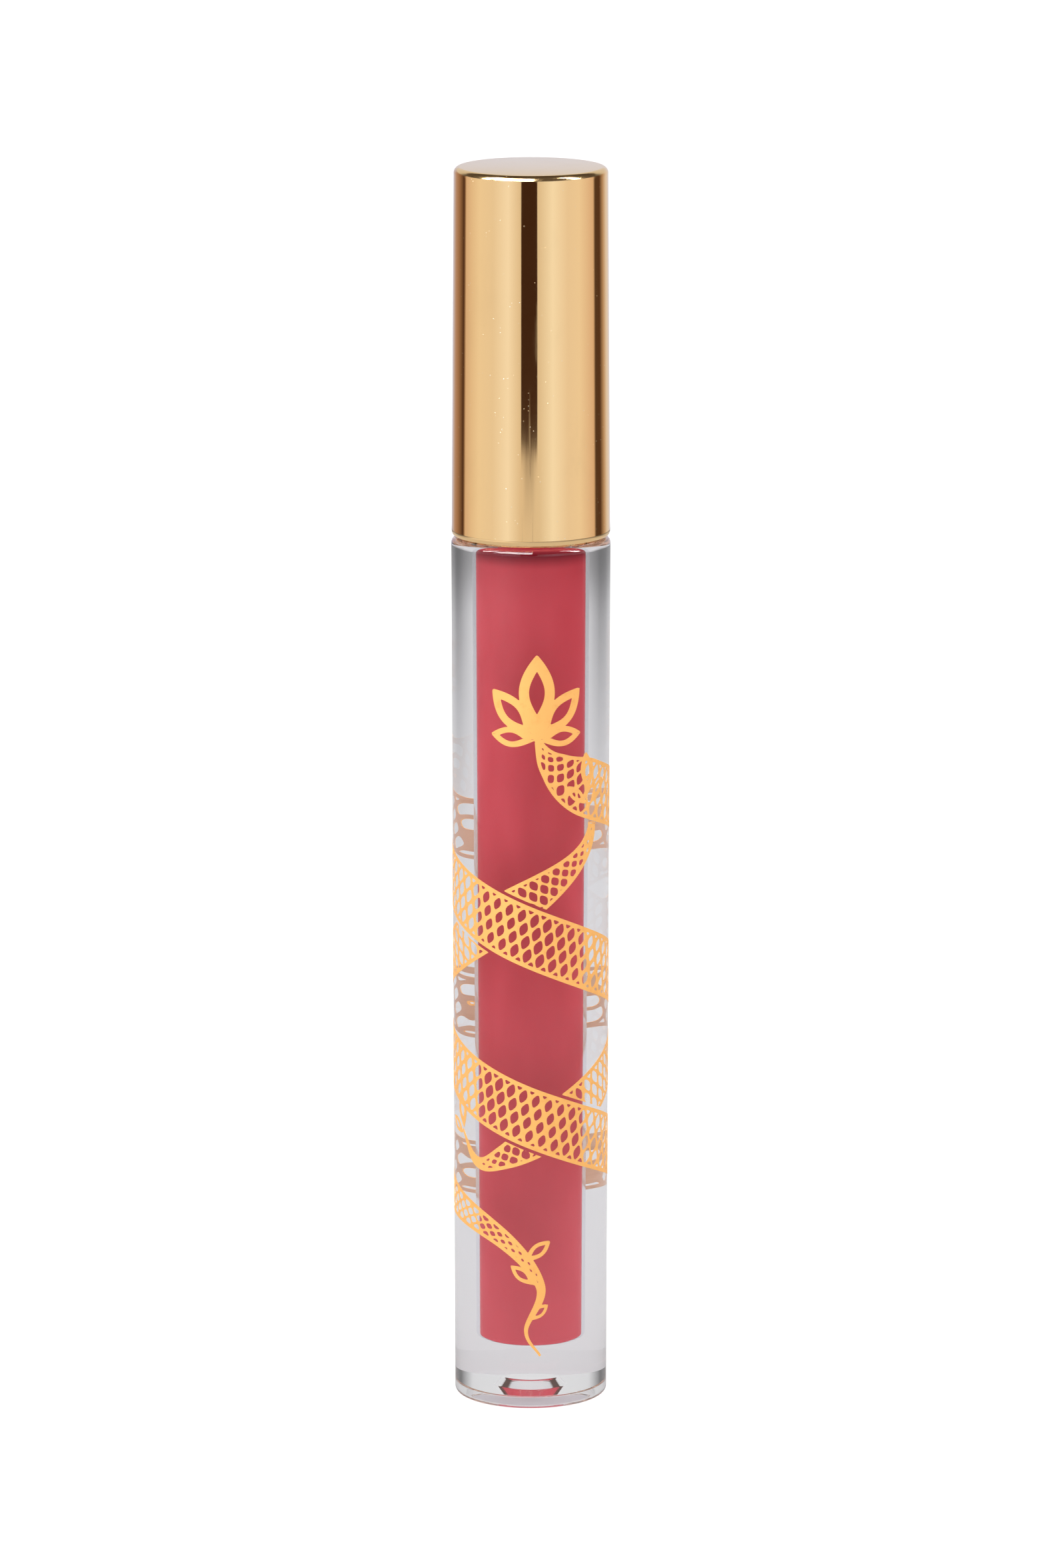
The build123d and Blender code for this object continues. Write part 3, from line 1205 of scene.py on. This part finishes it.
    def build(self, finish: StampedFoil, back: StampedFoil) -> bpy.types.Object:
        """Builds and dresses the print as a closed sheet.

        Args:
            finish: the foil's outer face.
            back: the lacquer side, which shows through the bottle.

        Returns:
            The print.
        """
        flat, faces, rims = self.sheet(self.foil_field())
        count = len(flat)
        points = np.vstack([self.wrap(flat, self.proud), self.wrap(flat, -self.sunk)])
        backs = [[count + v for v in reversed(face)] for face in faces]
        walls = [[b, a, count + a, count + b] for a, b in rims]
        piece = make_piece("gilded_ribbons", points, [*faces, *backs, *walls], finish.material(), crease=50.0)
        piece.data.materials.append(back.material())
        sides = [0] * len(faces) + [1] * len(backs) + [0] * len(walls)
        piece.data.polygons.foreach_set("material_index", sides)
        return settle(piece, Body.TUBE, "gold_foil", "foil_print")


# ---------------------------------------------------------------------------------------------------------------------
# Cap
# ---------------------------------------------------------------------------------------------------------------------


@dataclass
class CapShell:
    """The metallised outer cap. Sizes are in millimetres."""

    bore_r: float = 6.55
    top_r: float = 7.46
    top_wall: float = 1.2
    top_round: float = 0.6
    rim_round: float = 0.65

    def __post_init__(self) -> None:
        low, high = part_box("cap_shell")
        self.rim = low.z / MM
        self.top = high.z / MM
        self.rim_r = (high.x - low.x) / 2 / MM

    def build(self, finish: MirrorGold) -> bpy.types.Object:
        """Builds and dresses the shell."""
        corners = [
            (0, self.top - self.top_wall, 0),
            (self.bore_r, self.top - self.top_wall, 0.5),
            (self.bore_r, self.rim, 0.2),
            (self.rim_r, self.rim, self.rim_round),
            (self.top_r, self.top, self.top_round),
            (0, self.top, 0),
        ]
        points, faces = lathe(soften(corners, steps=10), closed=False, segments=256)
        piece = make_piece("mirror_cap", points, faces, finish.material())
        return settle(piece, Body.CAP, "gold_metallised", "cap_shell")


# ---------------------------------------------------------------------------------------------------------------------
# Wand
# ---------------------------------------------------------------------------------------------------------------------


@dataclass
class FlockedTip:
    """The slanted applicator: a bed with short fibres standing on it, and gloss. Sizes are in millimetres.

    Attributes:
        radius: the radius of the flock's outer face.
        slant: the angle of the slanted face above level, in degrees.
        slant_drop: how far under the tip's top the slant starts.
        corner: how round the slant's edges are.
        end_round: the height over which the lower end rounds off.
        bed_depth: how far the bed lies under the flock's outer face.
        gloss_top: the height at which the gloss ends.
        gloss_depth: how far the gloss lies under the flock's outer face, then its lumps and its sinking at the top.
        fibres: how many fibres there are.
        fibre_width: a fibre's width at its root.
        fibre_length: the shortest and the longest fibre.
        fibre_root: how far a fibre reaches into the bed.
        droop: how far the fibres hang, at most.
        scatter: how unevenly they stand.
        seed: the start of the random draws.
    """

    radius: float = 1.72
    slant: float = 72.0
    slant_drop: float = 4.48
    corner: float = 0.12
    end_round: float = 0.5
    bed_depth: float = 0.26
    gloss_top: float = 17.4
    gloss_depth: tuple[float, float, float] = (0.10, 0.022, 0.14)
    fibres: int = 5200
    fibre_width: float = 0.036
    fibre_length: Point = (0.20, 0.31)
    fibre_root: float = 0.05
    droop: float = 0.35
    scatter: float = 0.16
    seed: int = 7

    def __post_init__(self) -> None:
        low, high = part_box("applicator_flock")
        self.low, self.top = low.z / MM, high.z / MM
        self.slant_top = self.top - self.slant_drop

    def skin(self, angle: np.ndarray, height: np.ndarray, depth: float | np.ndarray = 0.0) -> np.ndarray:
        """Points on the tip's surface.

        Args:
            angle: the angles round the tip.
            height: their heights in millimetres.
            depth: how far under the flock's outer face they lie.

        Returns:
            The points, in millimetres.
        """
        radius = self.radius - depth
        fall = np.clip(self.slant_top - height, 0, None) / math.tan(math.radians(self.slant))
        cut = self.radius - fall - 0.6 * depth
        x, y = radius * np.cos(angle), radius * np.sin(angle)
        x = (x + cut - np.sqrt((x - cut) ** 2 + self.corner**2)) / 2
        middle = (np.minimum(cut, radius) - radius) / 2
        above_end = np.clip((height - self.low - depth) / self.end_round, 0.01, 1)
        shrink = np.sqrt(1 - (1 - above_end) ** 2)
        return np.stack([middle + (x - middle) * shrink, y * shrink, np.maximum(height, self.low + depth)], axis=-1)

    def shell(
        self, top: float, rows: int, columns: int, depth: Callable[[np.ndarray, np.ndarray], np.ndarray]
    ) -> tuple[np.ndarray, list[list[int]]]:
        """A closed surface over the tip.

        Args:
            top: its upper end.
            rows: how many rows it has.
            columns: how many points each row has.
            depth: how deep it lies, from the angle and height.

        Returns:
            The vertices and the faces.
        """
        rise = np.linspace(0, 1, rows) ** 1.4
        angle, height = np.meshgrid(np.arange(columns) * 2 * math.pi / columns, self.low + (top - self.low) * rise)
        points = self.skin(angle, height, depth(angle, height)).reshape(-1, 3)
        ends = [list(reversed(range(columns))), [(rows - 1) * columns + k for k in range(columns)]]
        return points, bands(rows, columns) + ends

    def bed(self, finish: Flocking) -> bpy.types.Object:
        """Builds the bed that the fibres stand on."""

        def depth(angle: np.ndarray, height: np.ndarray) -> np.ndarray:
            """The bed's depth, which is even."""
            return np.full_like(height, self.bed_depth)

        points, faces = self.shell(self.top, 64, 72, depth)
        return make_piece("flock_bed", points, faces, finish.material())

    def pile(self, finish: Flocking) -> bpy.types.Object:
        """Builds the fibres, each a fine spike that leans a little."""
        dice = np.random.default_rng(self.seed)
        angle = dice.uniform(0, 2 * math.pi, self.fibres)
        height = self.low + (self.top - self.low) * dice.uniform(0.004, 0.995, self.fibres)
        root = self.skin(angle, height, self.bed_depth)
        turned = self.skin(angle + 0.02, height, self.bed_depth) - root
        raised = self.skin(angle, height + 0.02, self.bed_depth) - root
        out = np.cross(turned, raised)
        out /= np.linalg.norm(out, axis=1)[:, None] + 1e-9
        out[:, 2] -= self.droop * dice.uniform(0.0, 1.0, self.fibres)
        out += dice.normal(0, self.scatter, (self.fibres, 3))
        out /= np.linalg.norm(out, axis=1)[:, None]
        end = root + out * dice.uniform(*self.fibre_length, (self.fibres, 1))
        side = np.cross(out, dice.normal(0, 1, (self.fibres, 3)))
        side *= self.fibre_width / 2 / np.linalg.norm(side, axis=1)[:, None]
        third = np.cross(out, side)
        foot = root - self.fibre_root * out
        corners = [foot + side * math.cos(t) + third * math.sin(t) for t in (0, 2 * math.pi / 3, 4 * math.pi / 3)]
        points = np.stack([*corners, end], axis=1).reshape(-1, 3)
        spike = ((0, 1, 3), (1, 2, 3), (2, 0, 3), (2, 1, 0))
        faces = [[4 * k + v for v in face] for k in range(self.fibres) for face in spike]
        return make_piece("flock_fibres", points, faces, finish.material())

    def gloss(self, finish: GlossCream) -> bpy.types.Object:
        """Builds the uneven gloss that clings to the tip."""

        def depth(angle: np.ndarray, height: np.ndarray) -> np.ndarray:
            """How deep the gloss lies under the flock's outer face: lumpy, and thin towards its upper edge."""
            lumps = np.sin(3 * angle + 1.7 * height) + np.sin(2 * angle - 2.9 * height + 1) + np.sin(5.3 * height)
            fade = np.clip((height - (self.gloss_top - 2.5 - 0.7 * np.sin(2 * angle))) / 2.0, 0, 1)
            even, lump, sink = self.gloss_depth
            return even + lump * lumps + sink * fade

        points, faces = self.shell(self.gloss_top, 90, 96, depth)
        return make_piece("tip_gloss", points, faces, finish.material())

    def build(self, flock: Flocking, gloss: GlossCream) -> None:
        """Builds and dresses the tip."""
        settle(self.bed(flock), Body.CAP, "flock", "applicator_flock")
        settle(self.pile(flock), Body.CAP, "flock", "applicator_flock")
        settle(self.gloss(gloss), Body.CAP, "gloss")


@dataclass
class StemFilm:
    """A film of gloss on the stem, with streaks and beads. Sizes are in millimetres.

    Attributes:
        name: the piece's name.
        low: its lower end.
        top: its upper end.
        body: the body that it rides on.
        replaced: the CAD nodes that it stands for.
        inner_r: the stem's radius.
        thin: its thickness where it is thin.
        thick: its thickness in the streaks and beads.
        beads: how many beads hang on it.
        bead_width: a bead's half width.
        bead_height: a bead's half height.
        seed: the start of the random draws.
    """

    name: str
    low: float
    top: float
    body: Body
    replaced: tuple[str, ...] = ()
    inner_r: float = 1.63
    thin: float = 0.035
    thick: float = 0.075
    beads: int = 9
    bead_width: float = 0.42
    bead_height: float = 0.8
    seed: int = 11

    def film_shift(self, angle: np.ndarray, radius: np.ndarray, height: np.ndarray) -> np.ndarray:
        """The change in radius that makes the outer face uneven."""
        dice = np.random.default_rng(self.seed)
        streaks = sum(
            np.sin(turns * angle + dice.uniform(0, 6) + height * dice.uniform(0.03, 0.2)) / (turns + 1)
            for turns in (1, 2, 3, 5)
        )
        film = 0.5 + 0.22 * streaks + 0.12 * np.sin(height * 0.9 + 2 * np.sin(angle))
        for _ in range(self.beads):
            place, middle = dice.uniform(0, 2 * math.pi), dice.uniform(self.low + 1, self.top - 1)
            aside = np.angle(np.exp(1j * (angle - place))) * 1.7 / self.bead_width
            film = film + 0.7 * np.exp(-(aside**2 + ((height - middle) / self.bead_height) ** 2))
        return np.where(radius > self.inner_r + 0.001, (self.thick - self.thin) * np.clip(film, 0, 1), 0.0)

    def build(self, finish: GlossCream) -> bpy.types.Object:
        """Builds and dresses the film."""
        outer = self.inner_r + self.thin
        spans = math.ceil((self.top - self.low) / 0.5)
        sides = [(outer, self.low + (self.top - self.low) * k / spans) for k in range(spans + 1)]
        points, faces = lathe([(self.inner_r, self.top), (self.inner_r, self.low), *sides], True, 96, self.film_shift)
        return settle(make_piece(self.name, points, faces, finish.material()), self.body, "gloss", *self.replaced)


def dress(node: str, finish: Moulded) -> None:
    """Gives a plain piece of the frame its finish."""
    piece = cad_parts[node]
    if not piece.material_slots:
        piece.data.materials.append(None)
    for place in piece.material_slots:
        place.material = finish.material()
    log.info("%s dressed in %s", node, finish.name)


# ---------------------------------------------------------------------------------------------------------------------
# Studio
# ---------------------------------------------------------------------------------------------------------------------


def hide_from(piece: bpy.types.Object, *rays: str) -> None:
    """Hides a piece from some kinds of rays, such as camera or glossy."""
    for ray in rays:
        setattr(piece, "visible_" + ray, False)


@dataclass(frozen=True)
class Softbox:
    """A lamp with an even square face.

    Attributes:
        name: its name.
        place: where its middle is, in metres.
        aim: the point that it faces.
        width: its width.
        height: its height.
        light: how bright its face is, where 1 is a white that just fills the picture.
    """

    name: str
    place: Place
    aim: Place
    width: float
    height: float
    light: float

    def build(self) -> None:
        """Hangs the lamp."""
        lamp = bpy.data.lights.new(self.name, "AREA")
        lamp.shape = "RECTANGLE"
        lamp.size, lamp.size_y = self.width, self.height
        lamp.energy = self.light * math.pi * self.width * self.height
        hung = bpy.data.objects.new(self.name, lamp)
        hung.location = self.place
        hung.rotation_mode = "QUATERNION"
        hung.rotation_quaternion = (Vector(self.aim) - Vector(self.place)).to_track_quat("-Z", "Y")
        hide_from(hung, "camera", "glossy", "transmission")
        bpy.context.scene.collection.objects.link(hung)


@dataclass
class Studio:
    """A pale floor, a table, a ring of lit cloth, cards, lamps and the camera. Sizes are in metres.

    Attributes:
        floor_size: the length of the floor's sides.
        floor_z: the floor's height, just under the table.
        table_r: the table's radius.
        ring_r: the radius of the ring of cloth, and of the bright cards over it.
        ring_height: the height of the cloth.
        glints: the name, the arc in degrees and the light of each bright card.
        glint_heights: the heights of the bright cards' edges.
        bend_step: the angle in degrees between two folds of a bent card.
        backdrop: the half width, the distance behind the tube and the height of the card there.
        lamps: the softboxes beside the tube and over the table.
        ambient: the colour of the world round the studio.
        distance: how far the camera is from its target.
        elevation: how far above level it looks from, in degrees.
        aim_height: its target's height.
        aim_side: how far to the side its target lies.
        lens: its focal length, in millimetres.
    """

    floor_size: float = 8.0
    floor_z: float = -0.0005
    table_r: float = 0.58
    ring_r: float = 0.5
    ring_height: float = 0.22
    glints: tuple[tuple[str, Point, float], ...] = (
        ("left_glint", (-77, -66), 22.0), ("middle_glint", (-57, 3), 15.0), ("right_glint", (67, 79), 22.0),
    )
    glint_heights: Point = (0.26, 0.95)
    bend_step: float = 3.0
    backdrop: Place = (5.0, 1.5, 1.4)
    lamps: tuple[Softbox, ...] = (
        Softbox("left_box", (-0.46, -0.20, 0.26), (0, 0, 0.26), width=0.80, height=0.52, light=1.0),
        Softbox("right_box", (0.42, -0.16, 0.26), (0, 0, 0.26), width=0.80, height=0.52, light=0.74),
        Softbox("top_box", (0.0, 0.8, 2.2), (0, 0.8, 0), width=5.0, height=5.0, light=2.0),
    )
    ambient: Colour = (0.085, 0.07, 0.058)
    distance: float = 0.809
    elevation: float = 11.7
    aim_height: float = 0.06127
    aim_side: float = -0.000815
    lens: float = 190.0

    def card(self, name: str, corners: Sequence[Place], material: bpy.types.Material) -> bpy.types.Object:
        """Stands a flat card in the studio."""
        piece = make_piece(name, np.array(corners) / MM, [list(range(len(corners)))], material)
        return piece

    def bend(self, name: str, arc: Point, heights: Point, material: bpy.types.Material) -> None:
        """Stands a card bent round the ring, which only mirrors see.

        Args:
            name: the card's name.
            arc: the angles in degrees of its sides, from the front and growing towards +X.
            heights: the heights of its lower and upper edges.
            material: its finish.
        """
        steps = max(4, int(abs(arc[1] - arc[0]) / self.bend_step))
        angles = np.radians(np.linspace(*arc, steps + 1))
        across, away = np.sin(angles), -np.cos(angles)
        rows = [np.stack([across, away, np.full(steps + 1, z / self.ring_r)], axis=1) for z in heights]
        faces = [[k, k + 1, k + steps + 2, k + steps + 1] for k in range(steps)]
        piece = make_piece(name, np.vstack(rows) * self.ring_r / MM, faces, material)
        hide_from(piece, "camera", "diffuse", "shadow", "transmission")

    def floor(self) -> None:
        """Lays the floor that the camera sees, and the smaller table that the object mirrors and refracts."""
        half = self.floor_size / 2
        wide_corners = [(x * half, y * half, self.floor_z) for x, y in CORNERS]
        wide = self.card("floor", wide_corners, StudioWhite("floor_white").material())
        hide_from(wide, "glossy", "transmission")
        turns = [2 * math.pi * k / 96 for k in range(96)]
        rim = [(self.table_r * math.cos(t), self.table_r * math.sin(t), 0) for t in turns]
        table = self.card("table", rim, TableTop().material())
        hide_from(table, "camera", "diffuse", "shadow")

    def cards(self) -> None:
        """Stands the ring of cloth, the three bright cards over it and the pale card behind."""
        self.bend("ring_cloth", (-180.0, 180.0), (0.0, self.ring_height), RingLight().material())
        for name, arc, light in self.glints:
            self.bend(name, arc, self.glint_heights, FlatCard(name + "_card", light).material())
        half, away, high = self.backdrop
        corners = [(-half, away, 0.0), (half, away, 0.0), (half, away, high), (-half, away, high)]
        back = self.card("backdrop", corners, Backdrop().material())
        hide_from(back, "camera", "diffuse", "shadow")

    def light(self) -> None:
        """Hangs the lamps and sets the world's faint light."""
        for lamp in self.lamps:
            lamp.build()
        world = bpy.data.worlds.new("studio_dark")
        world.use_nodes = True
        world.node_tree.nodes["Background"].inputs[0].default_value = (*self.ambient, 1.0)
        bpy.context.scene.world = world

    def camera(self) -> None:
        """Sets up the camera."""
        scene = bpy.context.scene
        eye = bpy.data.cameras.new("camera")
        eye.lens = self.lens
        eye.sensor_width = 36.0
        eye.clip_start, eye.clip_end = 0.01, 20.0
        camera = bpy.data.objects.new("camera", eye)
        tilt = math.radians(self.elevation)
        target = Vector((self.aim_side, 0.0, self.aim_height))
        back = Vector((0.0, -math.cos(tilt), math.sin(tilt)))
        camera.location = target + back * self.distance
        camera.rotation_mode = "QUATERNION"
        camera.rotation_quaternion = (-back).to_track_quat("-Z", "Y")
        scene.collection.objects.link(camera)
        scene.camera = camera
        scene.view_settings.view_transform = "Standard"
        scene.cycles.max_bounces = 16
        scene.cycles.transmission_bounces = 12
        scene.cycles.glossy_bounces = 6

    def build(self) -> None:
        """Builds the whole studio."""
        self.floor()
        self.cards()
        self.light()
        self.camera()


def main() -> None:
    """Builds the object and the studio in order."""
    Studio().build()
    bottle = Bottle()
    bottle.build(ClearPlastic())
    GlossColumn(bottle).build(GlossCream("gloss_in_bottle", wetting=0.94))
    lacquer = StampedFoil("foil_back", colour=(0.74, 0.60, 0.42), worn=(0.62, 0.47, 0.30), metal=0.1)
    GildedPrint(bottle).build(StampedFoil(), lacquer)
    dress("wiper", Moulded("wiper_soft", (0.86, 0.86, 0.85), 0.42, glow=0.5))
    CapShell().build(MirrorGold())
    dress("inner_cap", Moulded("liner_white", (0.87, 0.86, 0.83), 0.38))
    dress("cap_gasket", Moulded("gasket_foam", (0.84, 0.84, 0.82), 0.75, skin=0.3))
    dress("wand_stem", Moulded("stem_white", (0.89, 0.88, 0.86), 0.25))
    dress("applicator_core", Moulded("tip_soft", (0.70, 0.30, 0.32), 0.5, glow=0.4))
    open_gloss = GlossCream("gloss_in_the_open", roughness=0.1)
    FlockedTip().build(Flocking(), open_gloss)
    low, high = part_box("gloss_coat")
    film = StemFilm("stem_film", low.z / MM, high.z / MM, Body.FILM, ("gloss_coat",))
    film.build(open_gloss)
    StemFilm("stem_end_film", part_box("applicator_flock")[1].z / MM, film.low - 0.08, Body.CAP).build(open_gloss)


if __name__ == "__main__":
    main()
